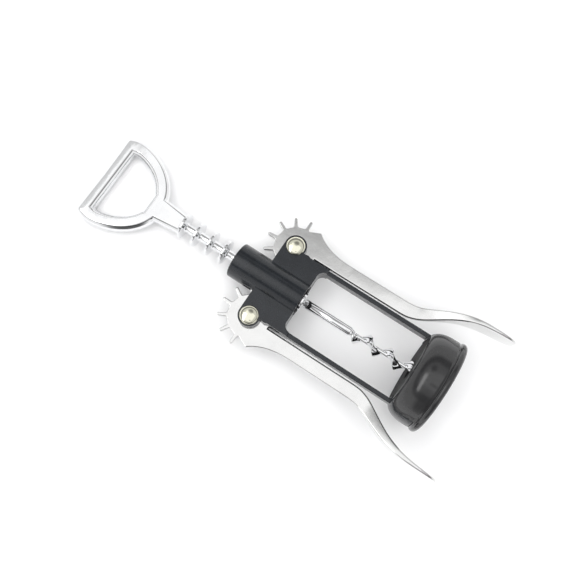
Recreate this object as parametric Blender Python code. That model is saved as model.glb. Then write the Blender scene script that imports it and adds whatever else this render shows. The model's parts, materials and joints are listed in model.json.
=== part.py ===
"""Winged corkscrew: a die-cast frame with a bell, two geared levers and a ringed rack with its worm.

The tool frame: X runs along the screw's axis from the handle to the bell, Y towards the right
lever, Z square to the plane of the levers. Its origin is on the axis, level with the two pivots.
The whole tool is then laid on z = 0, resting on the bell's rim and the handle's back bar.
"""

import math

import bmesh
import bpy
from mathutils import Matrix, Vector

MM = 0.001

# Clearances
SEAT_GAP = 0.3 * MM  # between pieces that are fixed to each other
RUNNING_GAP = 0.4 * MM  # between pieces that move past each other

# Rack and gears
RING_COUNT = 9
RING_RADIUS = 5.8 * MM
RING_RIM = 1.3 * MM  # a ring's thickness at its rim
RING_ROOT = 2.1 * MM  # a ring's thickness at the spindle
SPINDLE_RADIUS = 1.95 * MM
RACK_TAIL = 1.0 * MM  # of spindle past the last ring
FIRST_RING_X = -46.9 * MM
PITCH_LINE = 4.258 * MM  # where the rings roll on the gears, from the screw's axis
GEAR_TEETH = 12  # in a full turn
PIVOT_OFFSET = 18.2 * MM
TIP_CLEARANCE = 2.05 * MM  # from the gear's teeth to the spindle
TOOTH_LENGTH = 4.4 * MM
TOOTH_WIDTH = 1.8 * MM
TOOTH_TAPER = 0.84  # the tip's width as a share of the root's
TOOTH_FILLET = 0.5 * MM
TOOTH_COUNT = 8

# Levers
LEVER_THICKNESS = 2.4 * MM
LEVER_EDGE = 0.3 * MM
ARM_WIDTH = 6.6 * MM
ARM_TO_RAIL = 1.1 * MM
ARM_THICKENING = 0.5 * MM
SHOULDER_ANGLE = math.radians(64.0)  # corner between the gear and the arm, seen from the pivot
SHOULDER_DROP = 0.74 * MM  # that corner, inside the teeth's tips
FLARE_END = 26.0 * MM
BEND_BEFORE_BELL = 16.9 * MM
ARM_BEND = math.radians(28.0)
ARM_BEND_BACK = 0.93  # share of the bend that the tip turns back
PADDLE_LENGTH = 51.5 * MM  # along the arm's centre line, from the start of the bend
PADDLE_HEIGHT = 12.4 * MM
PADDLE_EDGE = 1.1 * MM
PADDLE_TIP_HEIGHT = 5.0 * MM

# Frame
BARREL_WALL = 0.75 * MM  # round the bush, where it is thinnest
BARREL_TOP = -19.0 * MM
BARREL_BOTTOM = 15.0 * MM
BARREL_EDGE = 0.6 * MM
CHEEK_WALL = 2.9 * MM  # on each side of a gear
LUG_MARGIN = 0.8 * MM  # round a rivet's head
LUG_TO_RAIL = 3.45 * MM
RAIL_INNER = 15.1 * MM
RAIL_WIDTH = 2.0 * MM
RAIL_DEPTH = 6.0 * MM
WINDOW_FILLET = 3.2 * MM
STRAP_HALF_ANGLE = math.radians(23.0)
STRAP_WALL = 1.8 * MM
STRAP_RISE = 0.4 * MM  # of the strap above the bell's top
STRAP_FOOT = 0.2 * MM  # of the strap inside the rail's inner face
STRAP_END_GAP = 3.9 * MM  # from the strap's lower end to the bell's rim
RAIL_OVERLAP = 0.6 * MM  # of the rails' ends into the bell's top

# Bell
BELL_TOP = 68.9 * MM
BELL_LENGTH = 15.7 * MM
BELL_WALL = 4.9 * MM
BELL_TOP_MARGIN = 0.6 * MM  # of the bell's flat top outside the rails' inner faces
BELL_SHOULDER = 8.5 * MM
BEAD_RADIUS = 1.6 * MM
BEAD_PROUD = 0.6 * MM
BEAD_GROOVE = 0.25 * MM
MOUTH_RADIUS = 16.0 * MM
MOUTH_EDGE = 0.7 * MM
BELL_TOP_WALL = 2.3 * MM
WORM_CLEARANCE = 0.8 * MM  # round the worm in the bell's top

# Guide bush
BUSH_LENGTH = 3.2 * MM
BUSH_WALL = 0.9 * MM
BUSH_SETBACK = 0.2 * MM  # from the barrel's end
BUSH_EDGE = 0.3 * MM

# Handle
HANDLE_LENGTH = 32.2 * MM
HANDLE_CORNER_Y = 21.0 * MM  # where the bow leaves the rounded corner
HANDLE_THICKNESS = 5.4 * MM
HANDLE_CHAMFER = 1.7 * MM
HANDLE_CORNER = 2.2 * MM
BACK_HOLLOW = 0.3 * MM  # so that the handle stands on its two corners
BACK_BAR = 6.2 * MM
BOW_WIDTH = 6.6 * MM
LIP_TO_NECK = 6.2 * MM
NECK_LENGTH = 12.9 * MM  # to the first ring
NECK_HALF_WIDTH = 5.7 * MM
NECK_END_HALF_WIDTH = 4.3 * MM

# Worm
WORM_RADIUS = 3.7 * MM  # over the thread
WORM_CORE_RADIUS = 0.95 * MM
WORM_PITCH = 10.2 * MM
WORM_LEAD_OUT = 3.0 * MM  # where the thread grows out of the shank
WORM_SETBACK = 5.6 * MM  # from the worm's tip to the bell's rim
WORM_TIP = 0.12  # the point's thickness as a share of the worm's
WORM_PHASE = math.radians(81.0)  # where the thread starts, from +Y towards +Z
THREAD_FLANK = ((4, 1.0), (20, 0.7), (38, 0.44), (58, 0.23), (80, 0.08), (105, 0.0))
SHANK_RADIUS = 2.05 * MM
SHANK_END_X = 40.0 * MM
SHANK_EDGE = 0.4 * MM
TANG_RADIUS = 1.2 * MM
TANG_DEPTH = 10.0 * MM  # inside the rack
FERRULE_RADIUS = 4.4 * MM
FERRULE_LENGTH = 2.4 * MM
FERRULE_EDGE = 0.35 * MM

# Rivets
RIVET_HEAD_RADIUS = 4.15 * MM
RIVET_DOME = 1.3 * MM
RIVET_SHANK_RADIUS = 2.0 * MM
RIVET_TUBE_WALL = 0.7 * MM
RIVET_CAP_WALL = 1.0 * MM

# What follows from those sizes
PITCH_RADIUS = PIVOT_OFFSET - PITCH_LINE
RING_PITCH = 2 * math.pi * PITCH_RADIUS / GEAR_TEETH
GEAR_TIP_RADIUS = PIVOT_OFFSET - SPINDLE_RADIUS - TIP_CLEARANCE
GEAR_ROOT_RADIUS = GEAR_TIP_RADIUS - TOOTH_LENGTH
SHOULDER_RADIUS = GEAR_TIP_RADIUS - SHOULDER_DROP
LAST_RING_X = FIRST_RING_X + (RING_COUNT - 1) * RING_PITCH
RACK_END = LAST_RING_X + RING_ROOT / 2 + RACK_TAIL
BORE_RADIUS = RING_RADIUS + RUNNING_GAP
BUSH_SEAT_RADIUS = BORE_RADIUS + BUSH_WALL + SEAT_GAP
BUSH_START = BARREL_BOTTOM - BUSH_LENGTH
BARREL_RADIUS = BUSH_SEAT_RADIUS + BARREL_WALL
SLOT_WIDTH = LEVER_THICKNESS + 2 * RUNNING_GAP
SLOT_RADIUS = GEAR_TIP_RADIUS + RUNNING_GAP
CHEEK_FACE = SLOT_WIDTH / 2 + CHEEK_WALL
LUG_RADIUS = RIVET_HEAD_RADIUS + LUG_MARGIN
RAIL_OUTER = RAIL_INNER + RAIL_WIDTH
RAIL_END = BELL_TOP + RAIL_OVERLAP
ARM_INNER_Y = RAIL_OUTER + ARM_TO_RAIL - PIVOT_OFFSET  # the arm's inner edge, from the pivot
ARM_STRAIGHT_END = BELL_TOP - BEND_BEFORE_BELL
ARM_LENGTH = ARM_STRAIGHT_END + PADDLE_LENGTH
BELL_END = BELL_TOP + BELL_LENGTH
BELL_RADIUS = MOUTH_RADIUS + BELL_WALL
BELL_TOP_RADIUS = RAIL_INNER + BELL_TOP_MARGIN
STRAP_END = BELL_END - STRAP_END_GAP
TANG_BORE = TANG_RADIUS + SEAT_GAP / 2
FERRULE_START = RACK_END + SEAT_GAP
SHANK_START = FERRULE_START + FERRULE_LENGTH + SEAT_GAP
WORM_TIP_X = BELL_END - WORM_SETBACK
BELL_HOLE_RADIUS = WORM_RADIUS + WORM_CLEARANCE
NECK_TOP = FIRST_RING_X - NECK_LENGTH
HANDLE_BACK = NECK_TOP - HANDLE_LENGTH
LIP_X = NECK_TOP - LIP_TO_NECK
RIVET_SEAT = CHEEK_FACE + SEAT_GAP / 2
RIVET_HOLE_RADIUS = RIVET_SHANK_RADIUS + SEAT_GAP / 2
RIVET_TUBE_RADIUS = RIVET_HOLE_RADIUS + RIVET_TUBE_WALL


def material(name, colour, metallic, roughness):
    made = bpy.data.materials.new(name)
    made.use_nodes = True
    shader = made.node_tree.nodes["Principled BSDF"]
    shader.inputs["Base Color"].default_value = (*colour, 1.0)
    shader.inputs["Metallic"].default_value = metallic
    shader.inputs["Roughness"].default_value = roughness
    return made


def arc(centre, radius, start, end, steps):
    """Points round a centre from one angle to another, both ends included, angles in degrees."""
    angles = [math.radians(start + (end - start) * i / steps) for i in range(steps + 1)]
    return [(centre[0] + radius * math.cos(a), centre[1] + radius * math.sin(a)) for a in angles]


def bezier(points, steps):
    """Points along a cubic curve through the first and last of four points."""
    a, b, c, d = (Vector(p) for p in points)
    found = []
    for i in range(steps + 1):
        t = i / steps
        u = 1 - t
        found.append(tuple(u**3 * a + 3 * u * u * t * b + 3 * u * t * t * c + t**3 * d))
    return found


def smooth(value, start, end):
    """0 before start, 1 after end, easing in between."""
    t = min(max((value - start) / (end - start), 0.0), 1.0)
    return t * t * (3 - 2 * t)


def new_object(name, bm, finish=None, parent=None):
    bmesh.ops.recalc_face_normals(bm, faces=bm.faces)
    mesh = bpy.data.meshes.new(name)
    bm.to_mesh(mesh)
    bm.free()
    made = bpy.data.objects.new(name, mesh)
    bpy.context.scene.collection.objects.link(made)
    made.parent = parent
    if finish:
        mesh.materials.append(finish)
        mesh.shade_smooth()
        mesh.set_sharp_from_angle(angle=math.radians(35))
    return made


def helper(made):
    """Keeps a cutter or a joined shape out of the finished object."""
    made.hide_render = True
    made.display_type = "WIRE"
    return made


def revolve(profile, steps, start=0.0, sweep=2 * math.pi):
    """A profile of (x, radius) points turned about X. Part of a turn gives a closed slice."""
    bm = bmesh.new()
    turn = Matrix.Rotation(start, 3, "X")
    corners = [bm.verts.new(turn @ Vector((x, r, 0))) for x, r in profile]
    whole = abs(sweep - 2 * math.pi) < 1e-9
    if whole:
        ends = list(zip(corners, corners[1:]))
        if min(profile[0][1], profile[-1][1]) > 0:
            ends.append((corners[-1], corners[0]))
        geometry = corners + [bm.edges.new(pair) for pair in ends]
    else:
        geometry = [bm.faces.new(corners)]
    bmesh.ops.spin(bm, geom=geometry, cent=(0, 0, 0), axis=(1, 0, 0), angle=sweep, steps=steps)
    bmesh.ops.remove_doubles(bm, verts=bm.verts, dist=1e-6)
    return bm


def plate(outlines, low, high):
    """Flat plate between two heights, from an outer outline and any holes in it."""
    bm = bmesh.new()
    edges = []
    for outline in outlines:
        loop = [bm.verts.new((x, y, low)) for x, y in outline]
        edges += [bm.edges.new((a, b)) for a, b in zip(loop, loop[1:] + loop[:1])]
    bmesh.ops.triangle_fill(bm, use_beauty=True, edges=edges)
    grown = bmesh.ops.extrude_face_region(bm, geom=bm.faces[:])
    moved = [item for item in grown["geom"] if isinstance(item, bmesh.types.BMVert)]
    bmesh.ops.translate(bm, verts=moved, vec=(0, 0, high - low))
    return bm


def rod(radius, low, high, segments, axis="Z"):
    """Plain round bar between two places on the X or the Z axis."""
    bm = bmesh.new()
    bmesh.ops.create_cone(
        bm, cap_ends=True, segments=segments, radius1=radius, radius2=radius, depth=high - low
    )
    bmesh.ops.translate(bm, verts=bm.verts, vec=(0, 0, (low + high) / 2))
    if axis == "X":
        bmesh.ops.rotate(bm, verts=bm.verts, matrix=Matrix.Rotation(math.pi / 2, 3, "Y"))
    return bm


def block(low, high):
    bm = bmesh.new()
    bmesh.ops.create_cube(bm, size=1.0)
    low, high = Vector(low), Vector(high)
    bmesh.ops.scale(bm, verts=bm.verts, vec=high - low)
    bmesh.ops.translate(bm, verts=bm.verts, vec=(low + high) / 2)
    return bm


def boolean(made, other, operation):
    step = made.modifiers.new(f"{operation.lower()}_{other.name}", "BOOLEAN")
    step.operation = operation
    step.solver = "EXACT"
    step.object = helper(other)
    return step


def soften(made, width, segments=1):
    step = made.modifiers.new("soften", "BEVEL")
    step.width = width
    step.segments = segments
    step.limit_method = "ANGLE"
    step.angle_limit = math.radians(40)
    return step


def bell_shoulder(steps):
    """The bell's rounded shoulder as (x, radius) points, from its top to its straight side."""
    found = []
    for i in range(steps + 1):
        t = math.pi / 2 * i / steps
        x = BELL_TOP + BELL_SHOULDER * (1 - math.cos(t))
        found.append((x, BELL_TOP_RADIUS + (BELL_RADIUS - BELL_TOP_RADIUS) * math.sin(t)))
    return found


def strap_profile(gap=0.0):
    """A strap's section as (x, radius) points. A gap widens it to the recess that it lies in."""
    outer = [(x, r + 3 * gap) for x, r in bell_shoulder(6)]
    outer[0] = (BELL_TOP - STRAP_RISE - 3 * gap, outer[0][1])
    outer.append((STRAP_END + gap, BELL_RADIUS + 3 * gap))
    foot = RAIL_INNER - STRAP_FOOT - gap
    inner = [(outer[0][0], foot), (RAIL_END + gap, foot)]
    inner += [(x, r - STRAP_WALL - gap) for x, r in bell_shoulder(6)[2:]]
    inner.append((STRAP_END + gap, BELL_RADIUS - STRAP_WALL - gap))
    return outer + inner[::-1]


def build_bell(finish, parent):
    bead_x = BELL_END - BEAD_RADIUS
    bead_r = BELL_RADIUS + BEAD_PROUD - BEAD_RADIUS
    profile = [(BELL_TOP, BELL_HOLE_RADIUS)] + bell_shoulder(7)
    groove_x = bead_x - 0.94 * BEAD_RADIUS
    profile.append((groove_x - BEAD_GROOVE * 2.8, BELL_RADIUS))
    profile.append((groove_x, BELL_RADIUS - BEAD_GROOVE))
    profile += arc((bead_x, bead_r), BEAD_RADIUS, 125, 0, 5)
    profile.append((BELL_END, MOUTH_RADIUS + MOUTH_EDGE))
    profile.append((BELL_END - MOUTH_EDGE, MOUTH_RADIUS))
    inner_top = BELL_TOP + BELL_TOP_WALL
    profile.append((inner_top + MOUTH_EDGE, MOUTH_RADIUS))
    profile.append((inner_top, MOUTH_RADIUS - MOUTH_EDGE))
    profile += [(inner_top, BELL_HOLE_RADIUS)]
    bell = new_object("bell", revolve(profile, 56), finish, parent)
    margin = 1.3 * SEAT_GAP / BELL_RADIUS
    for side, middle in (("right", 0.0), ("left", math.pi)):
        start = middle - STRAP_HALF_ANGLE - margin
        shape = revolve(strap_profile(SEAT_GAP), 8, start, 2 * (STRAP_HALF_ANGLE + margin))
        boolean(bell, new_object(f"strap_recess_{side}", shape, parent=parent), "DIFFERENCE")
    return bell


def cheek_outline():
    """Both cheeks and the web under the barrel, one side then its mirror image."""
    lug = (0.0, PIVOT_OFFSET)
    half = [(-LUG_RADIUS, 0.0)]
    half += arc(lug, LUG_RADIUS, 180, -12, 14)
    half.append((LUG_RADIUS + 0.6 * LUG_TO_RAIL, RAIL_OUTER + 0.14 * LUG_TO_RAIL))
    half.append((LUG_RADIUS + LUG_TO_RAIL, RAIL_OUTER))
    end = BARREL_BOTTOM + WINDOW_FILLET
    half += [(end, RAIL_OUTER), (end, RAIL_INNER)]
    half += arc((end, RAIL_INNER - WINDOW_FILLET), WINDOW_FILLET, 90, 180, 5)[1:]
    return half + [(x, -y) for x, y in half[:0:-1]]


def build_frame(finish, parent):
    edge, lower_edge = BARREL_EDGE, BARREL_EDGE / 2
    barrel = [(BARREL_TOP, 0.0), (BARREL_TOP, BARREL_RADIUS - edge)]
    barrel += [(BARREL_TOP + edge, BARREL_RADIUS), (BARREL_BOTTOM - lower_edge, BARREL_RADIUS)]
    barrel += [(BARREL_BOTTOM, BARREL_RADIUS - lower_edge), (BARREL_BOTTOM, 0.0)]
    frame = new_object("frame", revolve(barrel, 48), finish, parent)

    def add(name, shape, operation="UNION"):
        boolean(frame, new_object(name, shape, parent=parent), operation)

    add("cheeks", plate([cheek_outline()], -CHEEK_FACE, CHEEK_FACE))
    rail_start = BARREL_BOTTOM + WINDOW_FILLET / 2
    for side, y in (("right", 1), ("left", -1)):
        low, high = sorted((y * RAIL_INNER, y * RAIL_OUTER))
        depth = RAIL_DEPTH / 2
        add(f"rail_{side}", block((rail_start, low, -depth), (RAIL_END, high, depth)))
        start = (0 if y > 0 else math.pi) - STRAP_HALF_ANGLE
        add(f"strap_{side}", revolve(strap_profile(), 8, start, 2 * STRAP_HALF_ANGLE))
    over = 1.0 * MM  # of each cutter past the metal
    add("bore", rod(BORE_RADIUS, BARREL_TOP - over, BARREL_BOTTOM + over, 40, "X"), "DIFFERENCE")
    seat = rod(BUSH_SEAT_RADIUS, BUSH_START - SEAT_GAP, BARREL_BOTTOM + over, 40, "X")
    add("bush_seat", seat, "DIFFERENCE")
    for side, y in (("right", PIVOT_OFFSET), ("left", -PIVOT_OFFSET)):
        for name, radius, low, high, segments in (
            ("gear_slot", SLOT_RADIUS, -SLOT_WIDTH / 2, SLOT_WIDTH / 2, 56),
            ("rivet_hole", RIVET_HOLE_RADIUS, 0, CHEEK_FACE + over, 24),
            ("tube_hole", RIVET_TUBE_RADIUS + SEAT_GAP / 2, -CHEEK_FACE - over, 0, 24),
        ):
            shape = rod(radius, low, high, segments)
            bmesh.ops.translate(shape, verts=shape.verts, vec=(0, y, 0))
            add(f"{name}_{side}", shape, "DIFFERENCE")
    return frame


def tooth_outline(middle):
    """One gear tooth that points out at that angle, from its root on one side to the other."""
    out = Vector((math.cos(middle), math.sin(middle)))
    across = Vector((-out.y, out.x))
    root_half = TOOTH_WIDTH / 2
    tip_half = TOOTH_TAPER * root_half
    side = [
        (GEAR_ROOT_RADIUS, root_half + TOOTH_FILLET),
        (GEAR_ROOT_RADIUS + TOOTH_FILLET, root_half),
        (GEAR_TIP_RADIUS - tip_half, tip_half),
        (GEAR_TIP_RADIUS - 0.3 * tip_half, 0.7 * tip_half),
    ]
    found = [out * radius - across * half for radius, half in side]
    found.append(out * GEAR_TIP_RADIUS)
    found += [out * radius + across * half for radius, half in reversed(side)]
    return [tuple(point) for point in found]


def gear_outline():
    """The geared end of the right lever, from the pivot, with its end square across the arm."""
    ring_after_pivot = math.ceil(-FIRST_RING_X / RING_PITCH)
    mesh_x = FIRST_RING_X + (ring_after_pivot - 0.5) * RING_PITCH
    first = 90 + math.degrees(mesh_x / PITCH_RADIUS)
    pitch = 360 / GEAR_TEETH
    outer_y = ARM_INNER_Y + ARM_WIDTH
    shoulder_x = SHOULDER_RADIUS * math.cos(SHOULDER_ANGLE)
    shoulder_y = SHOULDER_RADIUS * math.sin(SHOULDER_ANGLE)
    flare = [(FLARE_END, outer_y), (0.62 * FLARE_END, 0.97 * outer_y)]
    flare += [(1.7 * shoulder_x, 0.72 * shoulder_y), (shoulder_x, shoulder_y)]
    outline = bezier(flare, 7)
    for tooth in range(TOOTH_COUNT):
        middle = first + pitch * tooth
        outline += tooth_outline(math.radians(middle))
        if tooth < TOOTH_COUNT - 1:
            between = middle + pitch / 2
            outline += arc((0, 0), GEAR_ROOT_RADIUS, between - 3, between + 3, 1)
    last = first + pitch * (TOOTH_COUNT - 1)
    inner_meets_root = 360 + math.degrees(math.asin(ARM_INNER_Y / GEAR_ROOT_RADIUS))
    outline += arc((0, 0), GEAR_ROOT_RADIUS, last + 12, inner_meets_root, 4)
    outline.append((FLARE_END, ARM_INNER_Y))
    return outline


def arm_stations(steps):
    """The arm past the gear: its middle, heading, width and height, from the pivot."""
    x, y = FLARE_END, ARM_INNER_Y + ARM_WIDTH / 2
    step = (ARM_LENGTH - FLARE_END) / steps
    found = []
    for i in range(1, steps + 1):
        s = FLARE_END + step * i
        out = smooth(s, ARM_STRAIGHT_END, ARM_STRAIGHT_END + 13 * MM)
        back = ARM_BEND_BACK * smooth(s, ARM_STRAIGHT_END + 17 * MM, ARM_LENGTH - 8 * MM)
        heading = ARM_BEND * (out - back)
        x += step * math.cos(heading)
        y += step * math.sin(heading)
        along = max(s - ARM_STRAIGHT_END - 4 * MM, 0) / (PADDLE_LENGTH - 4 * MM)
        width = PADDLE_EDGE + (ARM_WIDTH - PADDLE_EDGE) * (1 - along) ** 1.3
        rise = smooth(s, ARM_STRAIGHT_END + 7 * MM, ARM_LENGTH - 14 * MM)
        height = LEVER_THICKNESS + ARM_THICKENING * smooth(s, FLARE_END, ARM_STRAIGHT_END)
        height += (PADDLE_HEIGHT - height) * rise
        end = max(s - ARM_LENGTH + 9 * MM, 0) / (9 * MM)
        height -= (height - PADDLE_TIP_HEIGHT) * (1 - math.sqrt(1 - end**2))
        found.append((x, y, heading, width, height))
    return found


def lever_mesh():
    """The right lever about its pivot: the toothed plate, then the arm grown from its end face."""
    half = LEVER_THICKNESS / 2
    hole = arc((0, 0), RIVET_SHANK_RADIUS + RUNNING_GAP / 2, 0, 360, 24)[:-1]
    bm = plate([gear_outline(), hole], -half, half)
    tip = next(
        face
        for face in bm.faces
        if all(abs(vert.co.x - FLARE_END) < 1e-6 for vert in face.verts)
    )
    for x, y, heading, width, height in arm_stations(26):
        across = Vector((-math.sin(heading), math.cos(heading), 0))
        middle = Vector((x, y, 0))
        corners = sorted(tip.verts, key=lambda vert: vert.co.y)
        inner = sorted(corners[:2], key=lambda vert: vert.co.z)
        outer = sorted(corners[2:], key=lambda vert: vert.co.z)
        grown = bmesh.ops.extrude_discrete_faces(bm, faces=[tip])
        tip = grown["faces"][0]
        fresh = {}
        for vert in tip.verts:
            fresh[tuple(round(c, 7) for c in vert.co)] = vert
        for pair, side in ((inner, -0.5), (outer, 0.5)):
            for old, level in zip(pair, (-0.5, 0.5)):
                place = middle + across * width * side + Vector((0, 0, height * level))
                fresh[tuple(round(c, 7) for c in old.co)].co = place
    return bm


def build_levers(finish, parent):
    """Two identical levers: the left one is the right one turned over about the tool's axis."""
    right_axis = bpy.data.objects.new("lever_right_axis", None)
    left_axis = bpy.data.objects.new("lever_left_axis", None)
    for axis, y, turn in ((right_axis, PIVOT_OFFSET, 0.0), (left_axis, -PIVOT_OFFSET, math.pi)):
        bpy.context.scene.collection.objects.link(axis)
        axis.parent = parent
        axis.location = (0, y, 0)
        axis.rotation_euler.x = turn
    right = new_object("lever_right", lever_mesh(), finish, right_axis)
    left = bpy.data.objects.new("lever_left", right.data)
    bpy.context.scene.collection.objects.link(left)
    left.parent = left_axis
    for lever in (right, left):
        soften(lever, LEVER_EDGE)
    return right, left


def build_rivets(finish, parent):
    """On each pivot a domed rivet from the front and the tubular cap that closes it at the back."""
    head = [(RIVET_SEAT + RIVET_DOME, 0.0)]
    for i in range(1, 7):
        t = math.radians(15 * i)
        head.append((RIVET_SEAT + RIVET_DOME * math.cos(t), RIVET_HEAD_RADIUS * math.sin(t)))
    shank_end = RIVET_CAP_WALL - CHEEK_FACE
    rivet = head + [(RIVET_SEAT, RIVET_SHANK_RADIUS)]
    rivet += [(shank_end, RIVET_SHANK_RADIUS), (shank_end, 0.0)]
    tube_end = -SLOT_WIDTH / 2 - SEAT_GAP
    floor = shank_end - SEAT_GAP
    cap = [(-x, r) for x, r in head]
    cap += [(-RIVET_SEAT, RIVET_TUBE_RADIUS), (tube_end, RIVET_TUBE_RADIUS)]
    cap += [(tube_end, RIVET_HOLE_RADIUS), (floor, RIVET_HOLE_RADIUS), (floor, 0.0)]
    for side, y in (("right", PIVOT_OFFSET), ("left", -PIVOT_OFFSET)):
        for name, profile in (("pivot_rivet", rivet), ("rivet_cap", cap)):
            made = new_object(f"{name}_{side}", revolve(profile, 28), finish, parent)
            made.rotation_euler.y = -math.pi / 2
            made.location = (0, y, 0)


def build_bush(finish, parent):
    """The guide bush in the barrel's lower end, which turns with the rack."""
    end = BARREL_BOTTOM - BUSH_SETBACK
    outer = BORE_RADIUS + BUSH_WALL
    profile = [(BUSH_START, BORE_RADIUS), (BUSH_START, outer), (end - BUSH_EDGE, outer)]
    profile += [(end, outer - BUSH_EDGE), (end, BORE_RADIUS)]
    return new_object("guide_bush", revolve(profile, 40), finish, parent)


def handle_outlines():
    """The bottle-opener handle and its neck, then its D-shaped opening."""
    back = HANDLE_BACK
    corner_centre = (back + HANDLE_CORNER, HANDLE_CORNER_Y - HANDLE_CORNER)
    corner = arc(corner_centre, HANDLE_CORNER, 180, 100, 5)
    pull = [(corner[-1][0] + 0.18 * HANDLE_LENGTH, 1.16 * HANDLE_CORNER_Y)]
    pull.append((NECK_TOP - 0.15 * HANDLE_LENGTH, 0.95 * HANDLE_CORNER_Y))
    curve = bezier([corner[-1], *pull, (NECK_TOP, NECK_HALF_WIDTH)], 16)
    half = corner + curve[1:] + [(FIRST_RING_X, NECK_END_HALF_WIDTH)]
    outer = [(back + BACK_HOLLOW, 0.0)] + half + [(x, -y) for x, y in half[::-1]]
    inside = []
    for before, here, after in zip(curve, curve[1:], curve[2:]):
        along = (Vector(after) - Vector(before)).normalized()
        place = Vector(here) + BOW_WIDTH * Vector((along.y, -along.x))
        if back + BACK_BAR + 1.5 * MM < place.x < LIP_X - 0.6 * MM:
            inside.append(tuple(place))
    start = (back + BACK_BAR, inside[0][1] - 0.3 * MM)
    end = (LIP_X, inside[-1][1] - 0.8 * MM)
    half = [start] + inside + [end]
    return outer, half + [(x, -y) for x, y in half[::-1]]


def chamfered_plate(outlines, thickness, chamfer):
    """Flat plate centred on z = 0, with the edges of both its faces chamfered at 45 degrees."""
    level = thickness / 2 - chamfer
    bm = plate(outlines, -level, level)
    bmesh.ops.recalc_face_normals(bm, faces=bm.faces)
    for side in (level, -level):
        flat = [f for f in bm.faces if all(abs(v.co.z - side) < 1e-7 for v in f.verts)]
        bmesh.ops.inset_region(
            bm, faces=flat, thickness=chamfer, depth=chamfer, use_even_offset=True
        )
    return bm


def build_rack(finish, parent):
    """Handle, neck and ringed rack in one casting, bored from below for the worm's tang."""
    shape = chamfered_plate(handle_outlines(), HANDLE_THICKNESS, HANDLE_CHAMFER)
    made = new_object("handle_rack", shape, finish, parent)
    profile = [(FIRST_RING_X - RING_ROOT, 0.0)]
    profile.append((profile[0][0], SPINDLE_RADIUS))
    for i in range(RING_COUNT):
        x = FIRST_RING_X + i * RING_PITCH
        profile += [(x - RING_ROOT / 2, SPINDLE_RADIUS), (x - RING_RIM / 2, RING_RADIUS)]
        profile += [(x + RING_RIM / 2, RING_RADIUS), (x + RING_ROOT / 2, SPINDLE_RADIUS)]
    profile += [(RACK_END, SPINDLE_RADIUS), (RACK_END, 0.0)]
    rack = new_object("ringed_rack", revolve(profile, 28), parent=parent)
    boolean(made, rack, "UNION")
    bore = rod(TANG_BORE, RACK_END - TANG_DEPTH - SEAT_GAP, RACK_END + 1.0 * MM, 12, "X")
    boolean(made, new_object("tang_bore", bore, parent=parent), "DIFFERENCE")
    return made


def build_ferrule(finish, parent):
    """The ring clamped between the rack's end and the worm's shank."""
    start = FERRULE_START
    end = start + FERRULE_LENGTH
    rim = FERRULE_RADIUS - FERRULE_EDGE
    ring = [(start, TANG_BORE), (start, rim), (start + FERRULE_EDGE, FERRULE_RADIUS)]
    ring += [(end - FERRULE_EDGE, FERRULE_RADIUS), (end, rim), (end, TANG_BORE)]
    return new_object("worm_ferrule", revolve(ring, 32), finish, parent)


def worm_stations():
    """Tang, shank and thread as (x, core radius, thread height, turn), from the rack to the point."""
    start = WORM_PHASE
    shank_end = SHANK_RADIUS - SHANK_EDGE
    found = [(RACK_END - TANG_DEPTH, TANG_RADIUS, 0.0, start)]
    found.append((SHANK_START, TANG_RADIUS, 0.0, start))
    found.append((SHANK_START, SHANK_RADIUS, 0.0, start))
    found.append((SHANK_END_X - SHANK_EDGE, SHANK_RADIUS, 0.0, start))
    length = WORM_TIP_X - SHANK_END_X
    count = round(length / WORM_PITCH * 24)
    for i in range(count + 1):
        run = length * i / count
        grown = smooth(run, 0, WORM_LEAD_OUT)
        taper = min(1.0, WORM_TIP + (length - run) / (WORM_PITCH / 2))
        core = shank_end + (WORM_CORE_RADIUS - shank_end) * grown
        height = (WORM_RADIUS - WORM_CORE_RADIUS) * grown
        turn = start + 2 * math.pi * run / WORM_PITCH
        found.append((SHANK_END_X + run, core * taper, height * taper, turn))
    return found


def build_worm(finish, parent):
    """Tang, shank and auger in one piece: a round core with a right-hand thread round it.

    THREAD_FLANK gives the thread's section in degrees from its edge and shares of its height."""
    half = list(THREAD_FLANK) + [(angle, 0.0) for angle in (130, 155)]
    section = half + [(-angle, share) for angle, share in half[::-1]]
    bm = bmesh.new()
    rings = []
    for x, core, height, turn in worm_stations():
        ring = []
        for angle, share in section:
            around = turn + math.radians(angle)
            radius = core + height * share
            ring.append(bm.verts.new((x, radius * math.cos(around), radius * math.sin(around))))
        rings.append(ring)
    for one, two in zip(rings, rings[1:]):
        for k in range(len(section)):
            bm.faces.new((one[k - 1], one[k], two[k], two[k - 1]))
    bm.faces.new(rings[0])
    bm.faces.new(rings[-1])
    return new_object("worm", bm, finish, parent)


def world_points(made, graph):
    done = made.evaluated_get(graph)
    mesh = done.to_mesh()
    points = [made.matrix_world @ vert.co for vert in mesh.vertices]
    done.to_mesh_clear()
    return points


def rest_on_table(root, handle, bell):
    """Tips the tool about Y until both its supports touch z = 0, with its box centred on the origin."""
    bpy.context.view_layer.update()
    graph = bpy.context.evaluated_depsgraph_get()
    back, front = world_points(handle, graph), world_points(bell, graph)

    def lowest(points, tilt):
        return min(math.sin(tilt) * p.x + math.cos(tilt) * p.z for p in points)

    low, high = 0.0, math.radians(30)
    for _ in range(50):
        tilt = (low + high) / 2
        if lowest(front, tilt) < lowest(back, tilt):
            low = tilt
        else:
            high = tilt
    root.rotation_euler.y = -tilt
    graph.update()
    solids = [o for o in bpy.context.scene.objects if o.type == "MESH"]
    points = [p for made in solids if not made.hide_render for p in world_points(made, graph)]
    for axis in range(3):
        values = [p[axis] for p in points]
        edge = min(values) if axis == 2 else (min(values) + max(values)) / 2
        root.location[axis] = -edge


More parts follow.
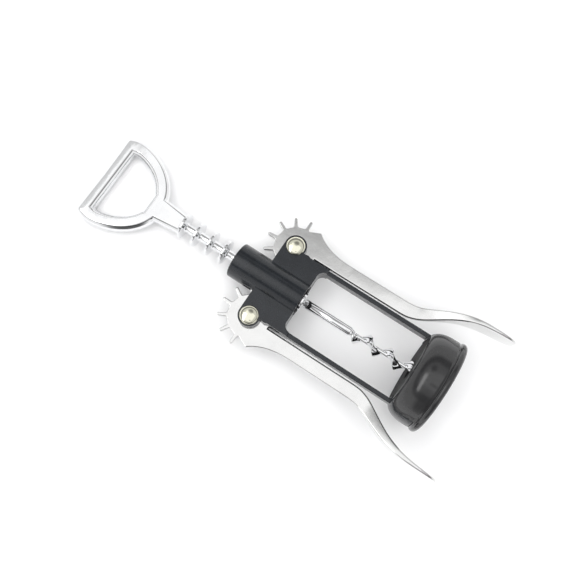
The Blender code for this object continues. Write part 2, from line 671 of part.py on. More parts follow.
def main():
    for old in list(bpy.data.objects):
        bpy.data.objects.remove(old, do_unlink=True)
    paint = material("frame_paint", (0.028, 0.034, 0.042), 0.0, 0.28)
    plastic = material("bell_plastic", (0.05, 0.05, 0.052), 0.0, 0.22)
    acetal = material("bush_acetal", (0.02, 0.02, 0.02), 0.0, 0.4)
    chrome = material("chrome", (0.78, 0.78, 0.78), 1.0, 0.1)
    nickel = material("rivet_nickel", (0.78, 0.74, 0.6), 1.0, 0.2)
    root = bpy.data.objects.new("corkscrew", None)
    worm_axis = bpy.data.objects.new("worm_axis", None)
    for empty, parent in ((root, None), (worm_axis, root)):
        bpy.context.scene.collection.objects.link(empty)
        empty.parent = parent
    build_frame(paint, root)
    bell = build_bell(plastic, root)
    build_rivets(nickel, root)
    build_levers(chrome, root)
    build_bush(acetal, worm_axis)
    handle = build_rack(chrome, worm_axis)
    build_ferrule(chrome, worm_axis)
    build_worm(chrome, worm_axis)
    rest_on_table(root, handle, bell)


main()
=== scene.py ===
"""Looks of the winged corkscrew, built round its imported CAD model.

Shapes are made in the tool frame, in millimetres: X runs along the screw's axis from the handle to
the bell, Y towards the right lever, Z square to the plane of the levers, with the origin on the
axis, level with the two pivots. The record's joints give that frame's place.
"""

import json
import math

import bmesh
import bpy
from mathutils import Matrix, Vector

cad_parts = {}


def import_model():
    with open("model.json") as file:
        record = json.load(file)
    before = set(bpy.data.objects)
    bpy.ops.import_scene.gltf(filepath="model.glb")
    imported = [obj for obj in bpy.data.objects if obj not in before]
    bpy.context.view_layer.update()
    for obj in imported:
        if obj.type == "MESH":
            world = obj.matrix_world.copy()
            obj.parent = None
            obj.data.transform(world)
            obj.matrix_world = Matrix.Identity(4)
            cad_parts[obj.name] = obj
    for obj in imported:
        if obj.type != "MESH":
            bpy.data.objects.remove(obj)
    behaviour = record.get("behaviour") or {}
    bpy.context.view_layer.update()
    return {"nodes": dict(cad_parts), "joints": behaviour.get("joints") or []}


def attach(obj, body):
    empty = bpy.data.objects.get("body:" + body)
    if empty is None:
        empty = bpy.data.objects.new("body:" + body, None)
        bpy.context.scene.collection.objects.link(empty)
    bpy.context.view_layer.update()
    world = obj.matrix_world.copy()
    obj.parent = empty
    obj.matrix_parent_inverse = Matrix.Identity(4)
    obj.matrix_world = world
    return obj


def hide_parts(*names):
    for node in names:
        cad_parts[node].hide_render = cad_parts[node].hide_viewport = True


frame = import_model()

MM = 0.001
JOINTS = {joint["name"]: joint for joint in frame["joints"]}


def tool_frame():
    """The tool frame in the row frame, with its unit one millimetre, and the pivots' distance."""
    x = Vector(JOINTS["rack_slide"]["axis"]).normalized()
    z = Vector(JOINTS["lever_right_swing"]["axis"]).normalized()
    right = Vector(JOINTS["lever_right_swing"]["pos_m"])
    left = Vector(JOINTS["lever_left_swing"]["pos_m"])
    turn = Matrix((x, z.cross(x), z)).transposed().to_4x4()
    place = Matrix.Translation((right + left) / 2) @ turn
    return place @ Matrix.Scale(MM, 4), (right - left).length / 2 / MM


TOOL, PIVOT_OFFSET = tool_frame()


def tool_box(node):
    """Lowest and highest corner of a CAD node in the tool frame."""
    back = TOOL.inverted()
    points = [back @ vert.co for vert in frame["nodes"][node].data.vertices]
    low = Vector(min(p[i] for p in points) for i in range(3))
    high = Vector(max(p[i] for p in points) for i in range(3))
    return low, high


# Sizes read from the CAD nodes
FRAME_LOW, FRAME_HIGH = tool_box("frame")
BELL_LOW, BELL_HIGH = tool_box("bell")
RACK_LOW, RACK_HIGH = tool_box("handle_rack")
WORM_LOW, WORM_HIGH = tool_box("worm")
FERRULE_LOW, FERRULE_HIGH = tool_box("worm_ferrule")
BUSH_LOW, BUSH_HIGH = tool_box("guide_bush")
RIVET_LOW, RIVET_HIGH = tool_box("pivot_rivet_right")
CAP_INNER_Z = tool_box("rivet_cap_right")[1].z

# Clearances
SEAT_GAP = 0.3  # between pieces that are fixed to each other
RUNNING_GAP = 0.4  # between pieces that move past each other

# Rack and gears
RING_COUNT = 9
RING_RIM = 1.3
RING_ROOT = 2.1
SPINDLE_RADIUS = 1.95
FIRST_RING_X = -46.9
GEAR_TEETH = 12
PITCH_LINE = 4.258  # where the rings roll on the gears, from the screw's axis
PITCH_RADIUS = PIVOT_OFFSET - PITCH_LINE
RING_PITCH = 2 * math.pi * PITCH_RADIUS / GEAR_TEETH
RING_RADIUS = 5.8
TIP_CLEARANCE = 2.05  # from the gear's teeth to the spindle
GEAR_TIP_RADIUS = PIVOT_OFFSET - SPINDLE_RADIUS - TIP_CLEARANCE
TOOTH_LENGTH = 4.4
GEAR_ROOT_RADIUS = GEAR_TIP_RADIUS - TOOTH_LENGTH
TOOTH_WIDTH = 1.8
TOOTH_TAPER = 0.84
TOOTH_FILLET = 0.5
TOOTH_COUNT = 8

# Levers
LEVER_THICKNESS = 2.4
ARM_WIDTH = 6.6
SHOULDER = (13.46, math.radians(64.0))  # corner between gear and arm, as radius and angle
ARM_THICKENING = 0.5
FLARE_END = 26.0
ARM_STRAIGHT_END = 52.0
ARM_LENGTH = 103.5
ARM_BEND = math.radians(28.0)
ARM_BEND_BACK = 0.93  # share of the bend that the tip turns back
PADDLE_HEIGHT = 12.4
PADDLE_EDGE = 1.1
PADDLE_TIP_HEIGHT = 5.0
LEVER_EDGE = 0.75
TOOTH_EDGE = 0.4
PIVOT_HOLE_RADIUS = 2.2

# Frame
BARREL_RADIUS = 8.15
BARREL_TOP = FRAME_LOW.x
BARREL_BOTTOM = 15.0
BARREL_EDGE = 0.6
BARREL_LOWER_EDGE = 0.35
CHEEK_EDGE = 0.35
CASTING_EDGE = 0.3
CHEEK_FACE = 4.5
SLOT_WIDTH = 3.2
SLOT_RADIUS = GEAR_TIP_RADIUS + RUNNING_GAP
LUG_RADIUS = FRAME_HIGH.y - PIVOT_OFFSET
RAIL_INNER = 15.1
RAIL_OUTER = 17.1
RAIL_DEPTH = 6.0
ARM_TO_RAIL = 1.1
ARM_INNER_Y = RAIL_OUTER + ARM_TO_RAIL - PIVOT_OFFSET
LUG_TO_RAIL = 3.45
WINDOW_FILLET = 3.2
STRAP_HALF_ANGLE = math.radians(23.0)
STRAP_WALL = 1.8
STRAP_RISE = 0.4  # of the strap above the bell's top
STRAP_FOOT = 0.2  # of the strap inside the rail's inner face
STRAP_END = FRAME_HIGH.x
BORE_RADIUS = RING_RADIUS + RUNNING_GAP

# Bell
BELL_TOP = BELL_LOW.x
BELL_END = BELL_HIGH.x
BEAD_RADIUS = 1.6
BEAD_PROUD = 0.6
BELL_RADIUS = BELL_HIGH.y - BEAD_PROUD
BELL_TOP_MARGIN = 0.6  # of the flat top outside the rails' inner faces
BELL_TOP_RADIUS = RAIL_INNER + BELL_TOP_MARGIN
BELL_SHOULDER = 8.5
MOUTH_RADIUS = 16.0
BELL_TOP_WALL = 2.3
BELL_HOLE_RADIUS = 4.5
RAIL_OVERLAP = 0.6  # of the rails' ends into the bell's top
RAIL_END = BELL_TOP + RAIL_OVERLAP
BEAD_GROOVE = 0.3
BELL_EDGE = 0.22
RECESS_MARGIN = math.radians(1.1)  # round a strap in the bell

# Handle
HANDLE_BACK = RACK_LOW.x
HANDLE_LENGTH = 32.2
HANDLE_CORNER_Y = 21.0
HANDLE_THICKNESS = 5.4
HANDLE_CHAMFER = 1.7
HANDLE_CORNER = 2.2
BACK_HOLLOW = 0.3
BACK_BAR = 6.2
BOW_WIDTH = 6.6
NECK_TOP = HANDLE_BACK + HANDLE_LENGTH
NECK_HALF_WIDTH = 5.7
NECK_END_HALF_WIDTH = 4.3
LIP_TO_NECK = 6.2
LIP_X = NECK_TOP - LIP_TO_NECK

# Worm
WORM_RADIUS = 3.7
WORM_CORE_RADIUS = 0.95
WORM_PITCH = 10.2
WORM_LEAD_OUT = 3.0  # where the thread grows out of the shank
WORM_TIP = 0.12  # the point's thickness as a share of the worm's
WORM_PHASE = math.radians(81.0)
SHANK_RADIUS = 2.05
SHANK_END_X = 40.0
SHANK_EDGE = 0.4
TANG_RADIUS = 1.2

# Rivets
RIVET_SHANK_RADIUS = 2.0
RIVET_TUBE_RADIUS = 2.85
RIVET_EDGE = 0.25
RIVET_SEAT = CHEEK_FACE + SEAT_GAP / 2


# Helpers


def arc(centre, radius, start, end, steps):
    """Points round a centre from one angle to another, both ends included, angles in degrees."""
    angles = [math.radians(start + (end - start) * i / steps) for i in range(steps + 1)]
    return [(centre[0] + radius * math.cos(a), centre[1] + radius * math.sin(a)) for a in angles]


def bezier(points, steps):
    """Points along a cubic curve through the first and last of four points."""
    a, b, c, d = (Vector(p) for p in points)
    found = []
    for i in range(steps + 1):
        t = i / steps
        u = 1 - t
        found.append(tuple(u**3 * a + 3 * u * u * t * b + 3 * u * t * t * c + t**3 * d))
    return found


def smooth(value, start, end):
    """0 before start, 1 after end, easing in between."""
    t = min(max((value - start) / (end - start), 0.0), 1.0)
    return t * t * (3 - 2 * t)


def rounded(profile, radii, steps=5):
    """An open or closed outline with its corners rounded. A radius of 0 leaves a corner sharp."""
    found = []
    count = len(profile)
    for i, radius in enumerate(radii):
        here = Vector(profile[i])
        if not radius:
            found.append(tuple(here))
            continue
        before = (Vector(profile[i - 1]) - here).normalized()
        after = (Vector(profile[(i + 1) % count]) - here).normalized()
        half = before.angle(after) / 2
        reach = radius / math.tan(half)
        centre = here + (before + after).normalized() * radius / math.sin(half)
        first = here + before * reach - centre
        last = here + after * reach - centre
        swing = first.angle_signed(last)
        for k in range(steps + 1):
            a = -swing * k / steps
            turned = (
                first.x * math.cos(a) - first.y * math.sin(a),
                first.x * math.sin(a) + first.y * math.cos(a),
            )
            found.append((centre.x + turned[0], centre.y + turned[1]))
    return found


def new_object(name, bm, material=None):
    """A mesh object made in tool millimetres, and left in the row frame, in metres."""
    bmesh.ops.recalc_face_normals(bm, faces=bm.faces)
    mesh = bpy.data.meshes.new(name)
    bm.to_mesh(mesh)
    bm.free()
    made = bpy.data.objects.new(name, mesh)
    bpy.context.scene.collection.objects.link(made)
    if material:
        mesh.materials.append(material)
    return made


def revolve(profile, steps, start=0.0, sweep=2 * math.pi):
    """A profile of (x, radius) points turned about X. Part of a turn gives a closed slice."""
    bm = bmesh.new()
    turn = Matrix.Rotation(start, 3, "X")
    corners = [bm.verts.new(turn @ Vector((x, r, 0))) for x, r in profile]
    if abs(sweep - 2 * math.pi) < 1e-9:
        ends = list(zip(corners, corners[1:]))
        if min(profile[0][1], profile[-1][1]) > 0:
            ends.append((corners[-1], corners[0]))
        geometry = corners + [bm.edges.new(pair) for pair in ends]
    else:
        geometry = [bm.faces.new(corners)]
    bmesh.ops.spin(bm, geom=geometry, cent=(0, 0, 0), axis=(1, 0, 0), angle=sweep, steps=steps)
    bmesh.ops.remove_doubles(bm, verts=bm.verts, dist=1e-4)
    return bm


def plate(outlines, low, high):
    """Flat plate between two heights, from an outer outline and any holes in it."""
    bm = bmesh.new()
    edges = []
    for outline in outlines:
        loop = [bm.verts.new((x, y, low)) for x, y in outline]
        edges += [bm.edges.new((a, b)) for a, b in zip(loop, loop[1:] + loop[:1])]
    bmesh.ops.triangle_fill(bm, use_beauty=True, edges=edges)
    grown = bmesh.ops.extrude_face_region(bm, geom=bm.faces[:])
    moved = [item for item in grown["geom"] if isinstance(item, bmesh.types.BMVert)]
    bmesh.ops.translate(bm, verts=moved, vec=(0, 0, high - low))
    return bm


def rod(radius, low, high, segments, axis="Z"):
    """Plain round bar between two places on the X or the Z axis."""
    bm = bmesh.new()
    bmesh.ops.create_cone(
        bm, cap_ends=True, segments=segments, radius1=radius, radius2=radius, depth=high - low
    )
    bmesh.ops.translate(bm, verts=bm.verts, vec=(0, 0, (low + high) / 2))
    if axis == "X":
        bmesh.ops.rotate(bm, verts=bm.verts, matrix=Matrix.Rotation(math.pi / 2, 3, "Y"))
    return bm


def block(low, high):
    bm = bmesh.new()
    bmesh.ops.create_cube(bm, size=1.0)
    low, high = Vector(low), Vector(high)
    bmesh.ops.scale(bm, verts=bm.verts, vec=high - low)
    bmesh.ops.translate(bm, verts=bm.verts, vec=(low + high) / 2)
    return bm


def bevel(made, width, segments=3, angle=40):
    step = made.modifiers.new("bevel", "BEVEL")
    step.width = width
    step.segments = segments
    step.limit_method = "ANGLE"
    step.angle_limit = math.radians(angle)
    step.use_clamp_overlap = True
    return step


def boolean(made, other, operation):
    step = made.modifiers.new(operation, "BOOLEAN")
    step.operation = operation
    step.solver = "EXACT"
    step.object = other


def bake(made, helpers=()):
    """Turns an object's modifiers into its mesh, and removes the shapes that they used."""
    graph = bpy.context.evaluated_depsgraph_get()
    graph.update()
    mesh = bpy.data.meshes.new_from_object(made.evaluated_get(graph))
    made.modifiers.clear()
    made.data = mesh
    mesh.name = made.name
    for other in helpers:
        bpy.data.objects.remove(other, do_unlink=True)
    return made


def finish_piece(made, body, nodes=(), sharp=30, weighted=True):
    """Shades a piece, puts it in the row frame, and ties it to the body that it moves with."""
    if made.modifiers:
        bake(made)
    made.data.transform(TOOL)
    made.data.shade_smooth()
    made.data.set_sharp_from_angle(angle=math.radians(sharp))
    if weighted:
        step = made.modifiers.new("weighted", "WEIGHTED_NORMAL")
        step.keep_sharp = True
        step.weight = 80
    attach(made, body)
    if nodes:
        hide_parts(*nodes)
    return made


# Materials


def shader_of(name):
    made = bpy.data.materials.new(name)
    made.use_nodes = True
    return made, made.node_tree.nodes, made.node_tree.links, made.node_tree.nodes["Principled BSDF"]


def noise_at(nodes, links, scale, detail=4.0, roughness=0.55, stretch=None):
    """A noise pattern in object space, with its features about 1/scale metres across."""
    coordinates = nodes.new("ShaderNodeTexCoord")
    texture = nodes.new("ShaderNodeTexNoise")
    texture.inputs["Scale"].default_value = scale
    texture.inputs["Detail"].default_value = detail
    texture.inputs["Roughness"].default_value = roughness
    source = coordinates.outputs["Object"]
    if stretch:
        mapping = nodes.new("ShaderNodeMapping")
        mapping.inputs["Scale"].default_value = stretch
        mapping.inputs["Rotation"].default_value = TOOL.to_euler()
        links.new(source, mapping.inputs["Vector"])
        source = mapping.outputs["Vector"]
    links.new(source, texture.inputs["Vector"])
    return texture.outputs["Fac"]


def ranged(nodes, links, value, low, high, to_low, to_high):
    step = nodes.new("ShaderNodeMapRange")
    step.inputs["From Min"].default_value = low
    step.inputs["From Max"].default_value = high
    step.inputs["To Min"].default_value = to_low
    step.inputs["To Max"].default_value = to_high
    links.new(value, step.inputs["Value"])
    return step.outputs["Result"]


def mixed(nodes, links, factor, first, second):
    step = nodes.new("ShaderNodeMix")
    step.data_type = "RGBA"
    step.inputs["A"].default_value = (*first, 1.0)
    step.inputs["B"].default_value = (*second, 1.0)
    links.new(factor, step.inputs["Factor"])
    return step.outputs["Result"]


def bumped(nodes, links, value, strength, distance):
    step = nodes.new("ShaderNodeBump")
    step.inputs["Strength"].default_value = strength
    step.inputs["Distance"].default_value = distance
    links.new(value, step.inputs["Height"])
    return step.outputs["Normal"]


def paint_material():
    """Gloss navy-charcoal paint: a slight orange peel, faint clouding and uneven gloss."""
    made, nodes, links, shader = shader_of("frame_paint")
    cloud = noise_at(nodes, links, 220, 3)
    peel = noise_at(nodes, links, 900, 2)
    colour = mixed(nodes, links, ranged(nodes, links, cloud, 0.35, 0.65, 0, 1),
                   (0.0065, 0.0085, 0.0115), (0.0095, 0.012, 0.016))
    links.new(colour, shader.inputs["Base Color"])
    rough = ranged(nodes, links, noise_at(nodes, links, 500, 5), 0.3, 0.7, 0.2, 0.3)
    links.new(rough, shader.inputs["Roughness"])
    links.new(bumped(nodes, links, peel, 0.12, 0.0001), shader.inputs["Normal"])
    shader.inputs["IOR"].default_value = 1.45
    shader.inputs["Coat Weight"].default_value = 0.25
    shader.inputs["Coat Roughness"].default_value = 0.08
    return made


def plastic_material():
    """Gloss dark grey moulded plastic with a faint flow pattern and uneven gloss."""
    made, nodes, links, shader = shader_of("bell_plastic")
    flow = noise_at(nodes, links, 160, 4)
    colour = mixed(nodes, links, ranged(nodes, links, flow, 0.35, 0.65, 0, 1),
                   (0.017, 0.017, 0.018), (0.023, 0.023, 0.024))
    links.new(colour, shader.inputs["Base Color"])
    rough = ranged(nodes, links, noise_at(nodes, links, 420, 5), 0.3, 0.7, 0.12, 0.2)
    links.new(rough, shader.inputs["Roughness"])
    links.new(bumped(nodes, links, noise_at(nodes, links, 700, 2), 0.06, 0.0001),
              shader.inputs["Normal"])
    shader.inputs["IOR"].default_value = 1.56
    return made


def matte_plastic(name, colours, roughness, specular):
    """Unpolished black plastic with a fine grain, in the colours given; the bell's copy is darker as
    painted shade.
    """
    made, nodes, links, shader = shader_of(name)
    grain = noise_at(nodes, links, 900, 4)
    links.new(mixed(nodes, links, grain, *colours), shader.inputs["Base Color"])
    links.new(ranged(nodes, links, grain, 0.3, 0.7, *roughness), shader.inputs["Roughness"])
    links.new(bumped(nodes, links, grain, 0.1, 0.0001), shader.inputs["Normal"])
    shader.inputs["Specular IOR Level"].default_value = specular
    return made


def chrome_material(name, tint, low, high, brush=None):
    """Bright plate: roughness that varies a little, a faint waviness and, if asked, fine draw lines."""
    made, nodes, links, shader = shader_of(name)
    shader.inputs["Metallic"].default_value = 1.0
    stain = noise_at(nodes, links, 130, 5)
    darker = tuple(c * 0.94 for c in tint)
    links.new(mixed(nodes, links, ranged(nodes, links, stain, 0.35, 0.65, 0, 1), darker, tint),
              shader.inputs["Base Color"])
    fine = noise_at(nodes, links, 1800, 4, stretch=brush)
    links.new(ranged(nodes, links, fine, 0.3, 0.7, low, high), shader.inputs["Roughness"])
    wave = noise_at(nodes, links, 260, 2)
    links.new(bumped(nodes, links, wave, 0.10, 0.0002), shader.inputs["Normal"])
    return made


PAINT = paint_material()
PLASTIC = plastic_material()
ACETAL = matte_plastic("bush_acetal", ((0.012, 0.012, 0.013), (0.02, 0.02, 0.02)), (0.35, 0.5), 0.5)
# The bell's top face and inside: rougher, less glossy plastic whose darker colour is painted shade.
MATTE_SHADED_BELL_PLASTIC = matte_plastic(
    "bell_painted_shade", ((0.008, 0.008, 0.009), (0.014, 0.014, 0.015)), (0.55, 0.7), 0.15
)
CHROME = chrome_material("chrome", (0.86, 0.865, 0.875), 0.05, 0.09)
LEVER_CHROME = chrome_material("lever_chrome", (0.80, 0.80, 0.795), 0.10, 0.16, brush=(0.15, 1, 1))
NICKEL = chrome_material("rivet_nickel", (0.86, 0.845, 0.70), 0.06, 0.10)


# Frame


def bell_shoulder(steps):
    """The bell's rounded shoulder as (x, radius) points, from its top to its straight side."""
    found = []
    for i in range(steps + 1):
        t = math.pi / 2 * i / steps
        x = BELL_TOP + BELL_SHOULDER * (1 - math.cos(t))
        found.append((x, BELL_TOP_RADIUS + (BELL_RADIUS - BELL_TOP_RADIUS) * math.sin(t)))
    return found


def strap_profile(gap=0.0, steps=20):
    """A strap's section as (x, radius) points. A gap widens it to the recess that it lies in."""
    shoulder = bell_shoulder(steps)
    outer = [(x, r + 3 * gap) for x, r in shoulder]
    outer[0] = (BELL_TOP - STRAP_RISE - 3 * gap, outer[0][1])
    outer.append((STRAP_END + gap, BELL_RADIUS + 3 * gap))
    foot = RAIL_INNER - STRAP_FOOT - gap
    inner = [(outer[0][0], foot), (RAIL_END + gap, foot)]
    inner += [(x, r - STRAP_WALL - gap) for x, r in shoulder[steps // 3:]]
    inner.append((STRAP_END + gap, BELL_RADIUS - STRAP_WALL - gap))
    return outer + inner[::-1]


def cheek_outline():
    """Both cheeks and the web under the barrel, one side then its mirror image."""
    lug = (0.0, PIVOT_OFFSET)
    half = [(-LUG_RADIUS, 0.0)]
    half += arc(lug, LUG_RADIUS, 180, -12, 40)
    half.append((LUG_RADIUS + 0.6 * LUG_TO_RAIL, RAIL_OUTER + 0.14 * LUG_TO_RAIL))
    half.append((LUG_RADIUS + LUG_TO_RAIL, RAIL_OUTER))
    end = BARREL_BOTTOM + WINDOW_FILLET
    half += [(end, RAIL_OUTER), (end, RAIL_INNER)]
    half += arc((end, RAIL_INNER - WINDOW_FILLET), WINDOW_FILLET, 90, 180, 16)[1:]
    return half + [(x, -y) for x, y in half[:0:-1]]


def frame_piece():
    shell = [(BARREL_TOP, 0.0), (BARREL_TOP, BARREL_RADIUS), (BARREL_BOTTOM, BARREL_RADIUS)]
    shell.append((BARREL_BOTTOM, 0.0))
    barrel = rounded(shell, (0, BARREL_EDGE, BARREL_LOWER_EDGE, 0))
    made = new_object("frame_casting", revolve(barrel, 144), PAINT)
    helpers = []

    def add(shape, operation="UNION", soft=0.0):
        other = new_object("helper", shape)
        if soft:
            bevel(other, soft)
        helpers.append(other)
        boolean(made, other, operation)

    add(plate([cheek_outline()], -CHEEK_FACE, CHEEK_FACE), soft=CHEEK_EDGE)
    for y in (1, -1):
        low, high = sorted((y * RAIL_INNER, y * RAIL_OUTER))
        depth = RAIL_DEPTH / 2
        add(block((BARREL_BOTTOM + 1.0, low, -depth), (RAIL_END, high, depth)), soft=CASTING_EDGE)
        start = (0 if y > 0 else math.pi) - STRAP_HALF_ANGLE
        add(revolve(strap_profile(), 24, start, 2 * STRAP_HALF_ANGLE), soft=CASTING_EDGE)
    add(rod(BORE_RADIUS, BARREL_TOP - 1, BARREL_BOTTOM + 1, 96, "X"), "DIFFERENCE")
    seat = BUSH_HIGH.y + SEAT_GAP
    add(rod(seat, BUSH_LOW.x - SEAT_GAP, BARREL_BOTTOM + 1, 96, "X"), "DIFFERENCE")
    for y in (PIVOT_OFFSET, -PIVOT_OFFSET):
        shape = rod(SLOT_RADIUS, -SLOT_WIDTH / 2, SLOT_WIDTH / 2, 96)
        bmesh.ops.translate(shape, verts=shape.verts, vec=(0, y, 0))
        add(shape, "DIFFERENCE")
    bake(made, helpers)
    return finish_piece(made, "body", ("frame",))


# Bell


def bell_piece():
    bead_x = BELL_END - BEAD_RADIUS
    bead_r = BELL_RADIUS + BEAD_PROUD - BEAD_RADIUS
    profile = bell_shoulder(40)
    profile += bezier(
        [(bead_x - 2.6, BELL_RADIUS), (bead_x - 2.0, BELL_RADIUS),
         (bead_x - 1.9, BELL_RADIUS - BEAD_GROOVE), (bead_x - 1.35, BELL_RADIUS - BEAD_GROOVE)], 8)
    profile += arc((bead_x, bead_r), BEAD_RADIUS, 128, 0, 24)
    rim = [(BELL_END, bead_r), (BELL_END, MOUTH_RADIUS), (BELL_TOP + BELL_TOP_WALL, MOUTH_RADIUS)]
    rim.append((BELL_TOP + BELL_TOP_WALL, BELL_HOLE_RADIUS))
    rim.append((BELL_TOP, BELL_HOLE_RADIUS))
    profile += rounded(rim, (0, 0.8, 1.2, 0.3, 0.3))[1:]
    made = new_object("bell_cup", revolve(profile, 192), PLASTIC)
    helpers = []
    for middle in (0.0, math.pi):
        start = middle - STRAP_HALF_ANGLE - RECESS_MARGIN
        sweep = 2 * (STRAP_HALF_ANGLE + RECESS_MARGIN)
        shape = revolve(strap_profile(SEAT_GAP), 32, start, sweep)
        other = new_object("helper", shape)
        helpers.append(other)
        boolean(made, other, "DIFFERENCE")
    bevel(made, BELL_EDGE, 2, 50)
    bake(made, helpers)
    made.data.materials.append(MATTE_SHADED_BELL_PLASTIC)
    # The bell's top face and the inside of its mouth take the darker copy: painted shade.
    for face in made.data.polygons:
        inside = face.center.x < BELL_TOP + 0.05 or face.center.yz.length < MOUTH_RADIUS - 0.05
        if inside:
            face.material_index = 1
    return finish_piece(made, "body", ("bell",))


# Levers


def tooth_outline(middle):
    """One gear tooth that points out at that angle, from its root on one side to the other."""
    out = Vector((math.cos(middle), math.sin(middle)))
    across = Vector((-out.y, out.x))
    root_half = TOOTH_WIDTH / 2
    tip_half = TOOTH_TAPER * root_half
    side = []
    for i in range(4):
        t = math.pi / 2 * i / 3
        radius = GEAR_ROOT_RADIUS + TOOTH_FILLET * (1 - math.cos(t))
        side.append((radius, root_half + TOOTH_FILLET * (1 - math.sin(t))))
    found = [out * radius - across * half for radius, half in side]
    tip_centre = GEAR_TIP_RADIUS - tip_half
    for i in range(9):
        t = math.pi * (i / 8 - 0.5)
        found.append(out * (tip_centre + tip_half * math.cos(t)) + across * tip_half * math.sin(t))
    found += [out * radius + across * half for radius, half in reversed(side)]
    return [tuple(point) for point in found]


def gear_outline():
    """The geared end of the right lever, from the pivot, with its end square across the arm."""
    ring_after_pivot = math.ceil(-FIRST_RING_X / RING_PITCH)
    mesh_x = FIRST_RING_X + (ring_after_pivot - 0.5) * RING_PITCH
    first = 90 + math.degrees(mesh_x / PITCH_RADIUS)
    pitch = 360 / GEAR_TEETH
    outer_y = ARM_INNER_Y + ARM_WIDTH
    shoulder_x = SHOULDER[0] * math.cos(SHOULDER[1])
    shoulder_y = SHOULDER[0] * math.sin(SHOULDER[1])
    flare = [(FLARE_END, outer_y), (0.62 * FLARE_END, 0.97 * outer_y)]
    flare += [(1.7 * shoulder_x, 0.72 * shoulder_y), (shoulder_x, shoulder_y)]
    outline = bezier(flare, 24)
    for tooth in range(TOOTH_COUNT):
        middle = first + pitch * tooth
        outline += tooth_outline(math.radians(middle))
        if tooth < TOOTH_COUNT - 1:
            between = middle + pitch / 2
            outline += arc((0, 0), GEAR_ROOT_RADIUS, between - 6, between + 6, 4)
    last = first + pitch * (TOOTH_COUNT - 1)
    inner_meets_root = 360 + math.degrees(math.asin(ARM_INNER_Y / GEAR_ROOT_RADIUS))
    outline += arc((0, 0), GEAR_ROOT_RADIUS, last + 10, inner_meets_root, 12)
    outline.append((FLARE_END, ARM_INNER_Y))
    return outline


def arm_stations(steps):
    """The arm past the gear: its middle, heading, width and height, from the pivot."""
    x, y = FLARE_END, ARM_INNER_Y + ARM_WIDTH / 2
    step = (ARM_LENGTH - FLARE_END) / steps
    found = []
    for i in range(1, steps + 1):
        s = FLARE_END + step * i
        out = smooth(s, ARM_STRAIGHT_END, ARM_STRAIGHT_END + 13)
        back = ARM_BEND_BACK * smooth(s, ARM_STRAIGHT_END + 17, ARM_LENGTH - 8)
        heading = ARM_BEND * (out - back)
        x += step * math.cos(heading)
        y += step * math.sin(heading)
        along = max(s - ARM_STRAIGHT_END - 4, 0) / (ARM_LENGTH - ARM_STRAIGHT_END - 4)
        width = PADDLE_EDGE + (ARM_WIDTH - PADDLE_EDGE) * (1 - along) ** 1.3
        rise = smooth(s, ARM_STRAIGHT_END + 7, ARM_LENGTH - 14)
        height = LEVER_THICKNESS + ARM_THICKENING * smooth(s, FLARE_END, ARM_STRAIGHT_END)
        height += (PADDLE_HEIGHT - height) * rise
        end = max(s - ARM_LENGTH + 9, 0) / 9
        height -= (height - PADDLE_TIP_HEIGHT) * (1 - math.sqrt(1 - end**2))
        found.append((x, y, heading, width, height))
    return found


def lever_mesh():
    """The right lever about its pivot: the toothed plate, then the arm grown from its end face.

    Each edge that gets rounded carries its share of the lever's edge radius as a bevel weight."""
    half = LEVER_THICKNESS / 2
    bm = bmesh.new()
    weight = bm.edges.layers.float.new("bevel_weight_edge")
    face = bm.faces.new([bm.verts.new((x, y, -half)) for x, y in gear_outline()])
    grown = bmesh.ops.extrude_face_region(bm, geom=[face])
    moved = [item for item in grown["geom"] if isinstance(item, bmesh.types.BMVert)]
    bmesh.ops.translate(bm, verts=moved, vec=(0, 0, 2 * half))
    tip = next(
        face
        for face in bm.faces
        if all(abs(vert.co.x - FLARE_END) < 1e-4 for vert in face.verts)
    )
    end_edges = set(tip.edges)
    for edge in bm.edges:
        a, b = (vert.co for vert in edge.verts)
        if edge in end_edges or abs(a.z - b.z) > 1e-4:
            continue
        reach = max(a.xy.length, b.xy.length)
        toothed = reach < GEAR_TIP_RADIUS + 0.1 and min(a.x, b.x) < SHOULDER[0] * 0.4
        edge[weight] = TOOTH_EDGE / LEVER_EDGE if toothed else 1.0
    stations = arm_stations(90)
    for x, y, heading, width, height in stations:
        across = Vector((-math.sin(heading), math.cos(heading), 0))
        middle = Vector((x, y, 0))
        corners = sorted(tip.verts, key=lambda vert: vert.co.y)
        inner = sorted(corners[:2], key=lambda vert: vert.co.z)
        outer = sorted(corners[2:], key=lambda vert: vert.co.z)
        old_places = [(vert.co.copy(), side, level)
                      for pair, side in ((inner, -0.5), (outer, 0.5))
                      for vert, level in zip(pair, (-0.5, 0.5))]
        grown = bmesh.ops.extrude_discrete_faces(bm, faces=[tip])
        tip = grown["faces"][0]
        for place, side, level in old_places:
            vert = min(tip.verts, key=lambda v: (v.co - place).length)
            target = middle + across * width * side + Vector((0, 0, height * level))
            for edge in vert.link_edges:
                if edge not in tip.edges:
                    edge[weight] = min(1.0, 0.42 * width / LEVER_EDGE)
            vert.co = target
    for edge in tip.edges:
        edge[weight] = 0.42 * stations[-1][3] / LEVER_EDGE
    return bm


def lever_pieces():
    hole = rod(PIVOT_HOLE_RADIUS, -LEVER_THICKNESS, LEVER_THICKNESS, 64)
    for name, y, turn, body in (
        ("right_lever_arm", PIVOT_OFFSET, 0.0, "right_lever"),
        ("left_lever_arm", -PIVOT_OFFSET, math.pi, "left_lever"),
    ):
        made = new_object(name, lever_mesh(), LEVER_CHROME)
        step = bevel(made, LEVER_EDGE, 4)
        step.limit_method = "WEIGHT"
        step.use_clamp_overlap = False
        other = new_object("helper", hole.copy())
        boolean(made, other, "DIFFERENCE")
        bake(made, [other])
        place = Matrix.Translation((0, y, 0)) @ Matrix.Rotation(turn, 4, "X")
        made.data.transform(place)
        node = "lever_right" if y > 0 else "lever_left"
        finish_piece(made, body, (node,), sharp=50)
    hole.free()


# Rivets


